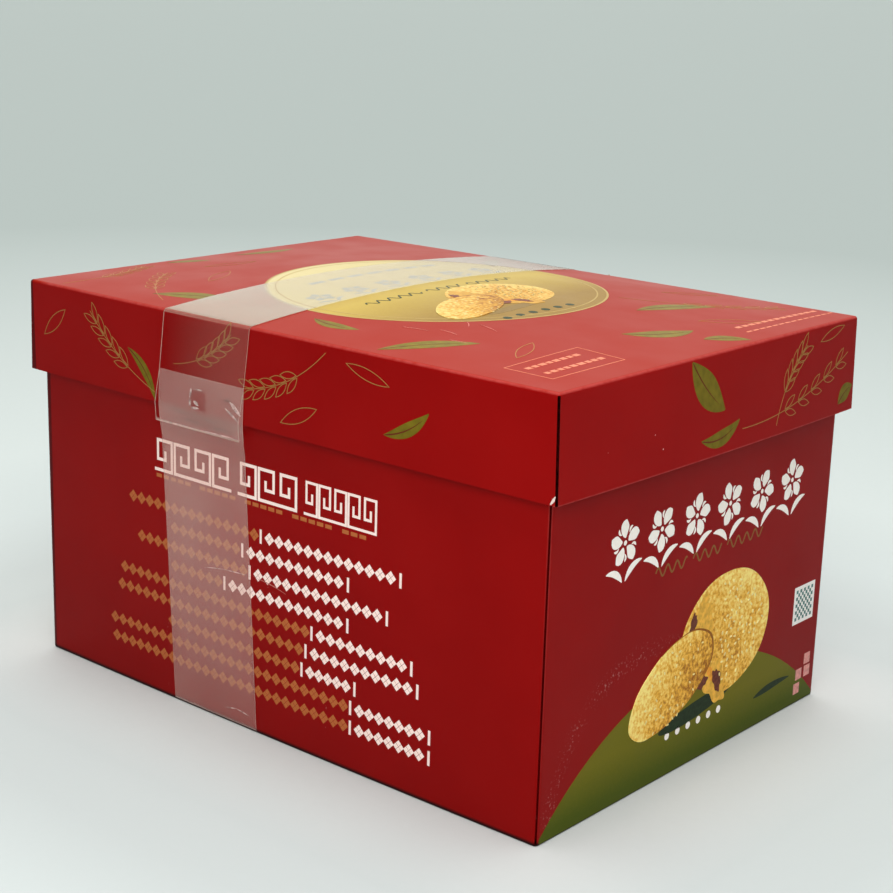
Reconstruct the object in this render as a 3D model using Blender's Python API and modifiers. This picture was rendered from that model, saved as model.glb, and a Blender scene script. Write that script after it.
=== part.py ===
"""A shut two-piece pastry carton, taped closed.

The tray is a solid block, because the carton is shut and its inside can't be seen. The lid is a
real cap of folded board that drops over it, and clear packing tape binds the two: one strip goes
over the lid, and a second strip on each long side laps over its ends and runs down the tray.

Metres, +Z up. The origin is on the floor under the carton's middle. X runs along the long side.
"""

import math

import bmesh
import bpy
from mathutils import Matrix, Vector

# Carton, outer sizes of the folded board
LID_LENGTH = 0.270
LID_WIDTH = 0.1935
HEIGHT = 0.1593
LID_DEPTH = 0.037
END_STEP = 0.00375
SIDE_STEP = 0.0036
BOARD = 0.0012

# Folds: rounded edges, and the narrow slit where two walls meet at a corner
FOLD_RADIUS = 0.0012
TRAY_RADIUS = 0.0016
FOLD_SEGMENTS = 2
SLIT_WIDTH = 0.0008
SLIT_DEPTH = 0.0030

# How the full carton is out of true
DOME = 0.0053
SIDE_BOW = 0.0012
RIM_FLARE = 0.0010
RIM_BOW = 0.0015

# Tape: where its strips start and end, and how the film comes down off the lid's wall
TAPE_WIDTH = 0.047
FILM = 0.0003
OVER_LID_END = 0.1145
DOWN_SIDE_START = 0.1362
DOWN_SIDE_END = 0.0020
LANDING = 0.0050

# The strips' middle lines slant a little, as (height, place along X)
OVER_LID_LINE = [(HEIGHT, -0.0274), (OVER_LID_END, -0.0335)]
DOWN_SIDE_LINE = [(DOWN_SIDE_START, -0.0304), (OVER_LID_END, -0.0343), (DOWN_SIDE_END, -0.0275)]

# Clearance between solids that touch in the real carton
TOUCH = 0.0003

# How finely the bowed panels and the film are divided
LENGTH_CUTS = 12
WIDTH_CUTS = 10
FILM_CUTS_ACROSS = 4
FILM_CUTS_ON_PANEL = 6
FILM_CUTS_ROUND_FOLD = 3

COLLECTION = "pastry_carton"
CUTTERS = "cutters"

RIM_Z = HEIGHT - LID_DEPTH
SIDE_Y = LID_WIDTH / 2.0
TRAY_Y = SIDE_Y - SIDE_STEP


def clear_scene():
    for item in list(bpy.data.objects):
        bpy.data.objects.remove(item, do_unlink=True)


def collection(name):
    found = bpy.data.collections.get(name) or bpy.data.collections.new(name)
    if found.name not in bpy.context.scene.collection.children:
        bpy.context.scene.collection.children.link(found)
    return found


def material(name, colour, roughness):
    made = bpy.data.materials.new(name)
    made.use_nodes = True
    shader = made.node_tree.nodes["Principled BSDF"]
    shader.inputs["Base Color"].default_value = (*colour, 1.0)
    shader.inputs["Roughness"].default_value = roughness
    shader.inputs["Metallic"].default_value = 0.0
    return made


def add_object(name, bm, made_of):
    mesh = bpy.data.meshes.new(name)
    bm.to_mesh(mesh)
    bm.free()
    mesh.materials.append(made_of)
    item = bpy.data.objects.new(name, mesh)
    collection(COLLECTION).objects.link(item)
    return item


def block(length, width, low, high):
    """A box centred on the Z axis, from height low to height high."""
    bm = bmesh.new()
    bmesh.ops.create_cube(bm, size=1.0)
    bmesh.ops.scale(bm, vec=(length, width, high - low), verts=bm.verts)
    bmesh.ops.translate(bm, vec=(0.0, 0.0, (low + high) / 2.0), verts=bm.verts)
    return bm


def round_edges(bm, chosen, radius):
    bmesh.ops.bevel(
        bm,
        geom=chosen,
        offset=radius,
        segments=FOLD_SEGMENTS,
        profile=0.5,
        affect="EDGES",
    )


def is_upright(edge):
    run = edge.verts[1].co - edge.verts[0].co
    return abs(run.z) > abs(run.x) + abs(run.y)


def is_at_height(edge, height):
    return all(abs(vert.co.z - height) < 1e-6 for vert in edge.verts)


def slice_across(bm, axis, size, pieces):
    """Cut every face by evenly spaced planes square to an axis, so that the piece can be bowed."""
    normal = Vector((0.0, 0.0, 0.0))
    normal[axis] = 1.0
    for step in range(1, pieces):
        place = Vector((0.0, 0.0, 0.0))
        place[axis] = size * (step / pieces - 0.5)
        everything = bm.verts[:] + bm.edges[:] + bm.faces[:]
        bmesh.ops.bisect_plane(bm, geom=everything, plane_co=place, plane_no=normal)


def fullness(distance, span):
    """1 in the middle of a panel and 0 at its edges, as the panel's bulge goes."""
    return max(0.0, 1.0 - (2.0 * distance / span) ** 2)


def dome_at(x, y):
    return DOME * fullness(x, LID_LENGTH) * fullness(y, LID_WIDTH)


def bowed_y(x, y):
    return y * (1.0 + SIDE_BOW * fullness(x, LID_LENGTH) / SIDE_Y)


def bulge(bm, panel_height):
    """Dome whatever is at the panel's height or above, and bow the long walls outwards."""
    bmesh.ops.triangulate(bm, faces=bm.faces[:])
    for vert in bm.verts:
        x, y, z = vert.co
        rise = dome_at(x, y) if z > panel_height - FOLD_RADIUS else 0.0
        vert.co = (x, bowed_y(x, y), z + rise)


def flare_rim(bm):
    """Let the lid's end walls stand away from the tray, most at the middle of the rim."""
    for vert in bm.verts:
        x, y, z = vert.co
        drop = (HEIGHT - z) / LID_DEPTH
        outwards = RIM_FLARE + RIM_BOW * fullness(y, LID_WIDTH)
        if drop > 0.0:
            vert.co.x = x + math.copysign(drop * outwards, x) * abs(2.0 * x / LID_LENGTH)


def cut_corner_slits(item, length, width, low, high):
    """Where two folded walls meet at a corner they leave a narrow open slit."""
    cutter = bmesh.new()
    for side_x in (-1.0, 1.0):
        for side_y in (-1.0, 1.0):
            made = bmesh.ops.create_cube(cutter, size=1.0)["verts"]
            size = (2.0 * SLIT_DEPTH, SLIT_WIDTH, high - low)
            bmesh.ops.scale(cutter, vec=size, verts=made)
            turn = Matrix.Rotation(side_x * side_y * math.pi / 4.0, 3, "Z")
            bmesh.ops.rotate(cutter, cent=(0.0, 0.0, 0.0), matrix=turn, verts=made)
            place = (side_x * length / 2.0, side_y * width / 2.0, (low + high) / 2.0)
            bmesh.ops.translate(cutter, vec=place, verts=made)
    mesh = bpy.data.meshes.new(item.name + "_slits")
    cutter.to_mesh(mesh)
    cutter.free()
    slits = bpy.data.objects.new(mesh.name, mesh)
    slits.hide_render = True
    slits.display_type = "WIRE"
    collection(CUTTERS).objects.link(slits)
    cut = item.modifiers.new("corner slits", "BOOLEAN")
    cut.operation = "DIFFERENCE"
    cut.object = slits


def make_tray(board):
    """The tray and what fills it, up to just under the lid's panel."""
    top = HEIGHT - BOARD - TOUCH
    length = LID_LENGTH - 2.0 * END_STEP
    width = 2.0 * TRAY_Y
    bm = block(length, width, 0.0, top)
    folds = [edge for edge in bm.edges if is_upright(edge) or is_at_height(edge, 0.0)]
    round_edges(bm, folds, TRAY_RADIUS)
    slice_across(bm, 0, length, LENGTH_CUTS)
    slice_across(bm, 1, width, WIDTH_CUTS)
    bulge(bm, top)
    item = add_object("tray", bm, board)
    cut_corner_slits(item, length, width, -SLIT_DEPTH, HEIGHT - 2.0 * BOARD)
    return item


def make_lid(board):
    """The cap: one panel and four folded walls, open below."""
    bm = block(LID_LENGTH, LID_WIDTH, RIM_Z, HEIGHT)
    open_face = [face for face in bm.faces if face.normal.z < -0.5]
    bmesh.ops.delete(bm, geom=open_face, context="FACES_ONLY")
    folds = [edge for edge in bm.edges if is_upright(edge) or is_at_height(edge, HEIGHT)]
    round_edges(bm, folds, FOLD_RADIUS)
    slice_across(bm, 0, LID_LENGTH, LENGTH_CUTS)
    slice_across(bm, 1, LID_WIDTH, WIDTH_CUTS)
    bulge(bm, HEIGHT)
    flare_rim(bm)
    item = add_object("lid", bm, board)
    wall = item.modifiers.new("board", "SOLIDIFY")
    wall.thickness = BOARD
    wall.offset = -1.0
    wall.use_even_offset = True
    cut_corner_slits(item, LID_LENGTH, LID_WIDTH, RIM_Z - SLIT_DEPTH, HEIGHT - 2.0 * BOARD)
    return item


def between(value, stations):
    """Read a value off a list of (place, value) pairs that runs downwards."""
    for (high, at_high), (low, at_low) in zip(stations, stations[1:]):
        if value >= low:
            share = min(1.0, (high - value) / (high - low))
            return at_high + share * (at_low - at_high)
    return stations[-1][1]


def strip_from_path(name, path, centre_line, side, film):
    """A strip of film whose inner face follows a path of (y, z) points, bulged like the carton."""
    rows = len(path) - 1
    bm = bmesh.new()
    bmesh.ops.create_grid(bm, x_segments=FILM_CUTS_ACROSS, y_segments=rows, size=0.5)
    for vert in bm.verts:
        y, z = path[round((vert.co.y + 0.5) * rows)]
        x = between(z, centre_line) + vert.co.x * TAPE_WIDTH
        rise = dome_at(x, y) if z > HEIGHT - FOLD_RADIUS else 0.0
        vert.co = (x, side * bowed_y(x, y), z + rise)
    if side < 0.0:
        bmesh.ops.reverse_faces(bm, faces=bm.faces[:])
    item = add_object(name, bm, film)
    thick = item.modifiers.new("film", "SOLIDIFY")
    thick.thickness = FILM
    thick.offset = 1.0
    thick.use_even_offset = True
    return item


def make_tape_over_lid(film):
    """The strip over the lid: up one side, across the panel, and down the other side."""
    offset = SIDE_Y + TOUCH
    loose_end = (offset + TRAY_Y) / 2.0
    half = [(loose_end, OVER_LID_END), (offset, RIM_Z), (offset, (RIM_Z + HEIGHT) / 2.0)]
    reach = FOLD_RADIUS + TOUCH
    for step in range(FILM_CUTS_ROUND_FOLD + 1):
        angle = math.pi / 2.0 * step / FILM_CUTS_ROUND_FOLD
        y = SIDE_Y - FOLD_RADIUS + reach * math.cos(angle)
        z = HEIGHT - FOLD_RADIUS + reach * math.sin(angle)
        half.append((y, z))
    flat_y, flat_z = half[-1]
    for step in range(1, FILM_CUTS_ON_PANEL + 1):
        half.append((flat_y * (1.0 - step / FILM_CUTS_ON_PANEL), flat_z))
    path = [(-y, z) for y, z in half] + half[-2::-1]
    return strip_from_path("tape_over_lid", path, OVER_LID_LINE, 1.0, film)


def make_tape_down_side(name, side, film):
    """The strip that laps over the end of the first one and runs down the tray's long wall."""
    over_first = SIDE_Y + 2.0 * TOUCH + FILM
    over_end = (SIDE_Y + TRAY_Y) / 2.0 + 3.0 * TOUCH + FILM
    on_tray = TRAY_Y + TOUCH
    path = [
        (over_first, DOWN_SIDE_START),
        (over_first, RIM_Z),
        (over_end, OVER_LID_END - TOUCH),
        (on_tray, OVER_LID_END - LANDING),
        (on_tray, (OVER_LID_END + DOWN_SIDE_END) / 2.0),
        (on_tray, DOWN_SIDE_END),
    ]
    return strip_from_path(name, path, DOWN_SIDE_LINE, side, film)


def build():
    clear_scene()
    board = material("red_board", (0.283, 0.007, 0.007), 0.35)
    film = material("clear_film", (0.62, 0.42, 0.42), 0.15)
    make_tray(board)
    make_lid(board)
    make_tape_over_lid(film)
    make_tape_down_side("tape_down_front", -1.0, film)
    make_tape_down_side("tape_down_back", 1.0, film)


build()
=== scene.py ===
"""Looks of a shut pastry carton: laminated red board, its print, and clear packing tape."""

import math
import random

import bmesh
import bpy
from mathutils import Matrix, Vector


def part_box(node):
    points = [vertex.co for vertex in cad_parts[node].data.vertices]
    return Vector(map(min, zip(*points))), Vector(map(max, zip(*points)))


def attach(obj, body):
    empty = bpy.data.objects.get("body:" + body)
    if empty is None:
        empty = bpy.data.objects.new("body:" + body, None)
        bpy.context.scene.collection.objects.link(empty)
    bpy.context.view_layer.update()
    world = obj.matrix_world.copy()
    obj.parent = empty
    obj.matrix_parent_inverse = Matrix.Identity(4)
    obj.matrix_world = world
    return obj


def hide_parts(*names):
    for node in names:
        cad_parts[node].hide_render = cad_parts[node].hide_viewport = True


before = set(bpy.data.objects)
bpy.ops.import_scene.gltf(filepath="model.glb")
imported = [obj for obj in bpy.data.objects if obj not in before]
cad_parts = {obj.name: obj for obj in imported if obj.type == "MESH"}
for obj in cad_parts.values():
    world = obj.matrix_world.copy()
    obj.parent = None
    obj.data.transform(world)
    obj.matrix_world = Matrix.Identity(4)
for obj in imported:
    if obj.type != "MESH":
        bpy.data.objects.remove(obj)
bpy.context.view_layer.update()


# Tray. The lower part of the carton is one sheet of grey board under a red laminated print. Its
# walls are folded up and only just meet at the corners, in an open slit. It is full and shut, so
# nothing of its inside shows, and its long walls bow out a little.
MM = 0.001
DOME = 5.3 * MM
SIDE_BOW = 1.2 * MM
RIM_FLARE = 1.0 * MM
RIM_BOW = 1.5 * MM
FOLD_STRIPS = 3
TRAY_FOLD = 1.5 * MM
TRAY_WEAR_HIGHLIGHT = 0.6
TRAY_FAR_CORNER_SHADE = (0.95, 1.06)
FOOT_FOLD = 0.7 * MM
SLIT_DEPTH = 3.0 * MM
FOLD_MARGIN = 0.6 * MM
PANEL_CELL = 9.0 * MM
SMOOTH_UNDER = math.radians(40.0)
RED = (0.272, 0.0020, 0.0018)
RED_DEEP = (0.248, 0.0012, 0.0012)
FADED_RED = (0.264, 0.0110, 0.0028)
WORN_HIGHLIGHT_RED = (0.37, 0.050, 0.045)
FAR_CORNER_SHADE_RED = (0.095, 0.0012, 0.0018)
FAR_CORNER_SHADE_RANGE = (-0.88, -0.93)
SCUFF_PALE = (0.55, 0.30, 0.27)
FOOT_SHADE = (0.010, 0.003, 0.003)
# Painted shade along the foot, for the shadow gap under it: the heights where it is thickest and where
# it ends, and its strength at both
FOOT_SHADE_BAND = (0.9 * MM, 2.0 * MM, 0.95, 0.0)
LAMINATE_IOR = 1.12
LAMINATE_GLOSS = (0.34, 0.41)
PEEL_STRENGTH = 0.25
PEEL_DEPTH = 0.03 * MM
# Grains: their scale and detail, and the values at which their spots start and are full
GLOSS_GRAIN = (40.0, 2.0, 0.3, 0.7)
MOTTLE = (22.0, 4.0, 0.35, 0.65)
RUBBING = (420.0, 2.0, 0.25, 0.6)
FLECKS = (900.0, 4.0, 0.58, 0.70)
PATCHES = (60.0, 2.0, 0.34, 0.56)

lid_low, lid_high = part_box("lid")
tray_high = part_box("tray")[1]
LID_LENGTH = 2.0 * (lid_high.x - RIM_FLARE - RIM_BOW)
SIDE_Y = lid_high.y - SIDE_BOW
LID_WIDTH = 2.0 * SIDE_Y
HEIGHT = lid_high.z - DOME
RIM_Z = lid_low.z
LID_DEPTH = HEIGHT - RIM_Z
TRAY_END = tray_high.x
TRAY_Y = tray_high.y / (1.0 + SIDE_BOW / SIDE_Y)
TRAY_TOP = tray_high.z - DOME


def fullness(distance, span):
    """1 in the middle of a panel and 0 at its edges, as the panel's bulge goes."""
    return max(0.0, 1.0 - (2.0 * distance / span) ** 2)


def dome_at(x, y):
    return DOME * fullness(x, LID_LENGTH) * fullness(y, LID_WIDTH)


def bowed(x, y):
    return y * (1.0 + SIDE_BOW * fullness(x, LID_LENGTH) / SIDE_Y)


def plain_box(length, width, low, high):
    bm = bmesh.new()
    bmesh.ops.create_cube(bm, size=1.0)
    bmesh.ops.scale(bm, vec=(length, width, high - low), verts=bm.verts)
    bmesh.ops.translate(bm, vec=(0.0, 0.0, (low + high) / 2.0), verts=bm.verts)
    return bm


def fold(bm, edges, radius):
    size = {"offset": radius, "segments": FOLD_STRIPS, "profile": 0.5}
    bmesh.ops.bevel(bm, geom=edges, affect="EDGES", material=-1, **size)


def upright_edges(bm):
    runs = [(edge, edge.verts[1].co - edge.verts[0].co) for edge in bm.edges]
    return [edge for edge, run in runs if abs(run.z) > abs(run.x) + abs(run.y)]


def edges_at(bm, height):
    near = 0.01 * MM
    return [edge for edge in bm.edges if all(abs(vert.co.z - height) < near for vert in edge.verts)]


def corner_strips(bm):
    """The middle strip of each upright fold, where the two walls leave their slit."""
    facing = [(face, face.normal) for face in bm.faces]
    return [face for face, n in facing if abs(n.z) < 0.1 and abs(abs(n.x) - abs(n.y)) < 0.1]


def all_of(bm):
    return bm.verts[:] + bm.edges[:] + bm.faces[:]


def cut(bm, place, way, trim=False):
    """Cut a mesh along a plane, and take off what lies past it where trim says so."""
    bmesh.ops.bisect_plane(bm, geom=all_of(bm), plane_co=place, plane_no=way, clear_outer=trim)


def cut_across(bm, axis, places):
    normal = Vector((0.0, 0.0, 0.0))
    normal[axis] = 1.0
    for place in places:
        cut(bm, normal * place, normal)


def panel_cuts(half, fold_radius):
    """Even cuts across a panel, and one close to the fold at each of its ends."""
    edge = half - fold_radius - FOLD_MARGIN
    cells = round(2.0 * edge / PANEL_CELL)
    return [edge * (2.0 * step / cells - 1.0) for step in range(cells + 1)]


def mark_wear_and_painted_light(bm, half_length, half_width, level, radius, worn_and_lit, far_corner_shade):
    """Note the print's rubbing and painted highlight: on every fold but the foot's, and not in the
    slits.

    Below 0 it is painted shade instead, on the folds beside the slits at the two far corners. The
    numbers of far_corner_shade say how far the dark reaches there, at the foot and at the top.
    """
    wear_and_painted_light = bm.verts.layers.float.new("wear_and_painted_light")
    heights = [vert.co.z for vert in bm.verts]
    low, high = min(heights), max(heights)
    for vert in bm.verts:
        from_end, from_side = half_length - abs(vert.co.x), half_width - abs(vert.co.y)
        gaps = sorted([from_end, from_side, abs(level - vert.co.z)])
        on_fold = gaps[0] > 0.01 * radius and gaps[1] < radius and vert.co.z > 2.0 * FOOT_FOLD
        vert[wear_and_painted_light] = worn_and_lit if on_fold else 0.0
        # Painted shade: the folds beside the two far corners' slits are darkened from here
        if vert.co.x < 0.0 and from_side < from_end < radius + 1.1 * FOLD_MARGIN:
            vert[wear_and_painted_light] = -far_corner_shade[0] - (vert.co.z - low) / (high - low) * (far_corner_shade[1] - far_corner_shade[0])


def make_object(name, bm, *finishes):
    mesh = bpy.data.meshes.new(name)
    bm.to_mesh(mesh)
    bm.free()
    for finish in finishes:
        mesh.materials.append(finish)
    mesh.shade_smooth()
    mesh.set_sharp_from_angle(angle=SMOOTH_UNDER)
    made = bpy.data.objects.new(name, mesh)
    bpy.context.scene.collection.objects.link(made)
    return made


def make_piece(name, bm, *finishes):
    """The object of a finished mesh, which rides on the carton's one body."""
    made = make_object(name, bm, *finishes)
    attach(made, "root")
    return made


def new_finish(name, ior):
    """A material, its shader, and the place on the carton that its patterns are read from."""
    made = bpy.data.materials.new(name)
    made.use_nodes = True
    shader = made.node_tree.nodes["Principled BSDF"]
    shader.inputs["IOR"].default_value = ior
    place = made.node_tree.nodes.new("ShaderNodeTexCoord").outputs["Object"]
    return made, shader, place


def lead(value, socket):
    """Lead a value from one node to the socket of another."""
    value.id_data.links.new(value, socket)


def node_beside(value, kind):
    """A new node in the same tree as a value."""
    return value.id_data.nodes.new("ShaderNode" + kind)


def speckle(place, scale, detail=2.0):
    made = node_beside(place, "TexNoise")
    made.inputs["Scale"].default_value = scale
    made.inputs["Detail"].default_value = detail
    lead(place, made.inputs["Vector"])
    return made.outputs["Fac"]


def ranged(value, low, high, to_low=0.0, to_high=1.0):
    """Take a value from one range to another, held at both ends."""
    made = node_beside(value, "MapRange")
    for socket, number in zip(made.inputs[1:5], (low, high, to_low, to_high)):
        socket.default_value = number
    lead(value, made.inputs["Value"])
    return made.outputs["Result"]


def grain(place, kind, to_low=0.0, to_high=1.0):
    """The spots of one of the grains, from one value where there are none to another where full."""
    scale, detail, start, full = kind
    return ranged(speckle(place, scale, detail), start, full, to_low, to_high)


def worked_out(operation, first, second=0.0):
    """One step of arithmetic on a node's value, with a number or another node's value."""
    made = node_beside(first, "Math")
    made.operation = operation
    lead(first, made.inputs[0])
    if isinstance(second, float):
        made.inputs[1].default_value = second
    else:
        lead(second, made.inputs[1])
    return made.outputs["Value"]


def product(first, second):
    return worked_out("MULTIPLY", first, second)


def mixed(share, first, second):
    """Mix two colours, each given or from another node."""
    made = node_beside(share, "Mix")
    made.data_type = "RGBA"
    lead(share, made.inputs[0])
    for socket, colour in ((made.inputs[6], first), (made.inputs[7], second)):
        if isinstance(colour, tuple):
            socket.default_value = (*colour, 1.0)
        else:
            lead(colour, socket)
    return made.outputs[2]


def vector_step(operation, first, second=(0.0, 0.0, 0.0)):
    """One step of arithmetic on another node's vector."""
    made = node_beside(first, "VectorMath")
    made.operation = operation
    lead(first, made.inputs[0])
    made.inputs[1].default_value = second
    return made.outputs["Value" if operation in ("LENGTH", "DOT_PRODUCT") else "Vector"]


def distance_to(place, middle=(0.0, 0.0, 0.0), scale=(1.0, 1.0, 1.0)):
    """How far a place is from a middle point, along the axes that scale keeps."""
    centred = node_beside(place, "Mapping")
    centred.inputs["Location"].default_value = tuple(-number for number in middle)
    centred.inputs["Scale"].default_value = scale
    lead(place, centred.inputs["Vector"])
    return vector_step("LENGTH", centred.outputs["Vector"])


def along(place, axis):
    parts = node_beside(place, "SeparateXYZ")
    lead(place, parts.inputs["Vector"])
    return parts.outputs[axis]


def attribute(place, name):
    made = node_beside(place, "Attribute")
    made.attribute_name = name
    return made.outputs["Fac"]


def laminated(made, shader, place, colour):
    """Print under its film: satin, with the faint orange peel of the board."""
    lead(colour, shader.inputs["Base Color"])
    lead(grain(place, GLOSS_GRAIN, *LAMINATE_GLOSS), shader.inputs["Roughness"])
    peel = worked_out("ADD", speckle(place, 260.0, 3.0), speckle(place, 1500.0))
    bump = node_beside(place, "Bump")
    bump.inputs["Strength"].default_value = PEEL_STRENGTH
    bump.inputs["Distance"].default_value = PEEL_DEPTH
    lead(peel, bump.inputs["Height"])
    lead(bump.outputs["Normal"], shader.inputs["Normal"])
    return made


def board_finish(name, scuffs):
    """Red print on board, faded on top, rubbed pale with a painted highlight on its folds, with painted
    shade beside the far corners' slits and along its foot.
    """
    made, shader, place = new_finish(name, LAMINATE_IOR)
    height = along(place, "Z")
    wear_and_painted_light = attribute(place, "wear_and_painted_light")
    red = mixed(grain(place, MOTTLE), RED_DEEP, RED)
    red = mixed(ranged(height, HEIGHT - MM, HEIGHT), red, FADED_RED)
    # Pale on the folds: partly rubbed print, partly a painted highlight
    red = mixed(product(wear_and_painted_light, grain(place, RUBBING, 0.35)), red, WORN_HIGHLIGHT_RED)
    # Painted shade beside the far corners' slits, where the attribute is below 0
    red = mixed(ranged(wear_and_painted_light, *FAR_CORNER_SHADE_RANGE), red, FAR_CORNER_SHADE_RED)
    for middle, radius, half_width, share in scuffs:
        away = worked_out("ABSOLUTE", worked_out("SUBTRACT", distance_to(place, middle), radius))
        flecks = product(grain(place, FLECKS), grain(place, PATCHES))
        red = mixed(product(ranged(away, 0.0, half_width, share, 0.0), flecks), red, SCUFF_PALE)
    # Painted shade: the print darkens towards the foot, standing in for the shadow gap under the tray
    return laminated(made, shader, place, mixed(ranged(height, *FOOT_SHADE_BAND), red, FOOT_SHADE))


# Rubbed arcs: the middle, the radius, half the width, and how strong the rubbing is
TRAY_SCUFFS = [
    (Vector((TRAY_END, -32.5 * MM, -2.0 * MM)), 56.0 * MM, 5.0 * MM, 0.6),
    (Vector((-12.0 * MM, -TRAY_Y, 18.0 * MM)), 45.0 * MM, 0.5 * MM, 0.4),
]
tray_board = board_finish("tray_board", TRAY_SCUFFS)

tray = plain_box(2.0 * TRAY_END, 2.0 * TRAY_Y, 0.0, TRAY_TOP)
fold(tray, upright_edges(tray), TRAY_FOLD)
fold(tray, edges_at(tray, 0.0), FOOT_FOLD)
for strip in bmesh.ops.extrude_discrete_faces(tray, faces=corner_strips(tray))["faces"]:
    strip.normal_update()
    bmesh.ops.translate(tray, vec=strip.normal * -SLIT_DEPTH, verts=strip.verts[:])
cut_across(tray, 0, panel_cuts(TRAY_END, TRAY_FOLD))
cut_across(tray, 1, panel_cuts(TRAY_Y, TRAY_FOLD))
mark_wear_and_painted_light(tray, TRAY_END, TRAY_Y, 0.0, TRAY_FOLD, TRAY_WEAR_HIGHLIGHT, TRAY_FAR_CORNER_SHADE)
for vert in tray.verts:
    x, y, z = vert.co
    rise = dome_at(x, y) if z > TRAY_TOP - MM else 0.0
    vert.co = (x, bowed(x, y), z + rise)
tray_piece = make_piece("tray_of_board", tray, tray_board)
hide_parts("tray")


# Lid. A drop-over cap of the same board, one panel and four walls folded down, with an open slit
# at each corner. The filling pushes its panel up into a dome, and its end walls stand away from
# the tray at the rim, where the cut edge of the board shows its pale core.
BOARD = 1.2 * MM
LID_FOLD = 1.0 * MM
LID_WEAR_HIGHLIGHT = 0.7
LID_FAR_CORNER_SHADE = (1.15, 0.94)
SLIT_SPREAD = 0.22 * MM
RIM_EDGE = 0.5 * MM
RIM_WEAR_HIGHLIGHT = 1.0
CORE_GREY = (0.62, 0.48, 0.43)
CORE_PALE = (0.82, 0.65, 0.59)
SLIT_SHADE_RED = (0.030, 0.0016, 0.0016)
BLACK = (0.0, 0.0, 0.0)
FIBRES = (900.0, 5.0, 0.35, 0.65)


def raw_board(name, first, second, ior):
    """Matt, with short fibres of two colours: bare board with no print, and the slit's painted shade."""
    made, shader, place = new_finish(name, ior)
    lead(mixed(grain(place, FIBRES), first, second), shader.inputs["Base Color"])
    shader.inputs["Roughness"].default_value = 0.9
    return made


lid_board = board_finish("lid_board", [])
board_core = raw_board("board_core", CORE_GREY, CORE_PALE, 1.4)
# Painted shade: the slit's edges take a near-black finish that stands in for the dark of the deep slit
slit_shade = raw_board("slit_shade", SLIT_SHADE_RED, BLACK, 1.05)

lid = plain_box(LID_LENGTH, LID_WIDTH, RIM_Z, HEIGHT)
under = [face for face in lid.faces if face.normal.z < -0.5]
bmesh.ops.delete(lid, geom=under, context="FACES_ONLY")
fold(lid, upright_edges(lid) + edges_at(lid, HEIGHT), LID_FOLD)
for strip in corner_strips(lid):
    middle = strip.calc_center_median()
    for vert in strip.verts:
        apart = Vector((vert.co.x - middle.x, vert.co.y - middle.y, 0.0))
        vert.co += apart.normalized() * SLIT_SPREAD
bmesh.ops.delete(lid, geom=corner_strips(lid), context="FACES")
cut_across(lid, 0, panel_cuts(LID_LENGTH / 2.0, LID_FOLD))
cut_across(lid, 1, panel_cuts(LID_WIDTH / 2.0, LID_FOLD))
cut_across(lid, 2, [RIM_Z + RIM_EDGE, HEIGHT - LID_FOLD - FOLD_MARGIN])
mark_wear_and_painted_light(lid, LID_LENGTH / 2.0, LID_WIDTH / 2.0, HEIGHT, LID_FOLD, LID_WEAR_HIGHLIGHT, LID_FAR_CORNER_SHADE)
wear_and_painted_light = lid.verts.layers.float["wear_and_painted_light"]
for vert in lid.verts:
    x, y, z = vert.co
    # Along the end walls' rim the print is pale: partly worn print, partly a painted highlight
    if z < RIM_Z + 0.5 * RIM_EDGE and abs(x) > LID_LENGTH / 2.0 - LID_FOLD:
        vert[wear_and_painted_light] = RIM_WEAR_HIGHLIGHT
    rise = dome_at(x, y) if z > HEIGHT - LID_FOLD else 0.0
    drop = (HEIGHT - z) / LID_DEPTH
    flare = drop * (RIM_FLARE + RIM_BOW * fullness(y, LID_WIDTH)) * abs(2.0 * x / LID_LENGTH)
    vert.co = (x + math.copysign(flare, x), bowed(x, y), z + rise)
printed = set(lid.faces)
inner = set(bmesh.ops.solidify(lid, geom=lid.faces[:], thickness=BOARD)["geom"])
for face in lid.faces:
    face.normal_update()
    if face not in printed:
        # The faces that the solidify adds down the corner slits take the slit's painted shade
        face.material_index = 1 if face in inner or face.normal.z < -0.5 else 2
lid_piece = make_piece("lid_of_board", lid, lid_board, board_core, slit_shade)
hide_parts("lid")


# Print on the long walls. It is white and gold ink under the laminate: a key-pattern border in
# three lengths, a fine gold line of dashes, and nine bands of lozenges that go from gold to white.
# Each ink is a very thin layer that follows the wall's bow.
INK = 0.03 * MM
PRINT_CELL = 8.0 * MM
WHITE_INK = (1.0, 0.77, 0.70)
GOLD_INK = (0.45, 0.130, 0.038)
BORDER_MIDDLE = 100.0 * MM
BORDER_HEIGHT = 12.0 * MM
BORDER_LINE = 1.25 * MM
BORDER_LINE_SHARE = 0.14
BORDER_LENGTHS = [(-62.0 * MM, 4, 11.0 * MM), (-14.5 * MM, 3, 10.6 * MM), (20.5 * MM, 5, 7.2 * MM)]
KEY_TURNS = [(2.9, 3.3), (2.9, 1.8), (0.9, 1.8), (0.9, 5.0), (4.6, 5.0), (4.6, 0.0), (0.0, 0.0)]
KEY_GRID = 5.0
FINE_LINE = (-61.5 * MM, 54.0 * MM, 91.6 * MM)
FINE_DASH = (3.2 * MM, 1.5 * MM)
DASHES_TOGETHER = 5
ROW_TOP = 79.8 * MM
ROW_PITCH = 7.8 * MM
# Where each band starts, turns from gold to white, and ends
ROWS_MM = [
    (-78, -2, 68), (-53, -12, 43), (-73, -8, 62), (-53, -22, 43), (-84, 25, 74),
    (-86, 22, 77), (-55, 20, 47), (-91, 45, 83), (-90, 45, 83),
]
BAR_GAP = 1.0 * MM
END_BAR = (1.1 * MM, 5.6 * MM)
LOZENGE_CELL = 5.0 * MM
LOZENGE = 1.72 * MM
LOZENGE_APART = 1.32 * MM


def tray_long_wall(u, v, rise):
    return Vector((u, -bowed(u, TRAY_Y) - rise, v))


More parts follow.
